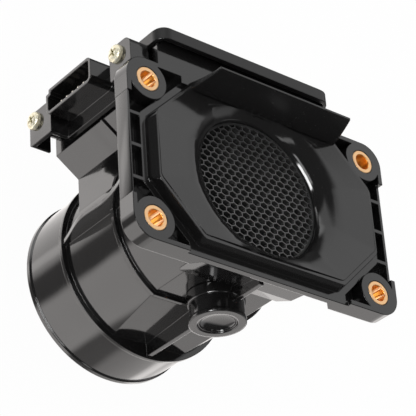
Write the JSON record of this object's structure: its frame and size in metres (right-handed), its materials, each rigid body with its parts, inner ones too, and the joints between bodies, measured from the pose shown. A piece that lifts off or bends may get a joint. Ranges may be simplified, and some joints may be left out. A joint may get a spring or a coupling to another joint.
{
  "type": "mass airflow sensor",
  "caption": "Vortex type airflow meter with a bolted rectangular inlet flange, honeycomb disc, hood, plug shroud, stub and a round hose outlet.",
  "frame": {"origin": "centre of the round outlet end, on the flow axis", "axes": "+Z along the flow axis and out of the inlet, +X along the long side of the flange, +Y towards the electronics box; the part stands on its outlet end"},
  "size_m": [0.13, 0.0997, 0.1225],
  "materials": {
    "housing_plastic": "glossy black",
    "cover_plastic": "satin black",
    "connector_plastic": "glossy black",
    "sealant": "soft matt",
    "tinned_pin": "bright tinned",
    "yellow_zinc": "yellow zinc plated steel",
    "brass": "turned brass",
    "grey_plastic": "satin grey",
    "generator_plastic": "satin black",
    "board": "green lacquer",
    "steel": "plain",
    "chip_black": "matt black",
    "can_metal": "bright",
    "probe_plastic": "satin brown",
    "plug_black": "glossy black",
    "seal_rubber": "matt black"
  },
  "bodies": {
    "root": {"meter_body": "housing_plastic", "electronics_cover": "cover_plastic", "cover_seal": "sealant", "connector_plate": "connector_plastic", "connector_seal": "sealant", "terminal_1": "tinned_pin", "terminal_2": "tinned_pin", "terminal_3": "tinned_pin", "terminal_4": "tinned_pin", "terminal_5": "tinned_pin", "connector_screw_1": "yellow_zinc", "connector_screw_2": "yellow_zinc", "mounting_insert_1": "brass", "mounting_insert_2": "brass", "mounting_insert_3": "brass", "mounting_insert_4": "brass", "honeycomb_straightener": "grey_plastic", "vortex_generator": "generator_plastic", "circuit_board": "board", "board_screw_1": "steel", "board_screw_2": "steel", "board_screw_3": "steel", "board_screw_4": "steel", "signal_chip": "chip_black", "pressure_sensor": "chip_black", "barometric_sensor": "chip_black", "capacitor_1": "can_metal", "capacitor_2": "can_metal", "temperature_probe": "probe_plastic", "bypass_plug": "plug_black", "bypass_screw": "brass", "bypass_screw_seal": "seal_rubber"}
  },
  "joints": []
}
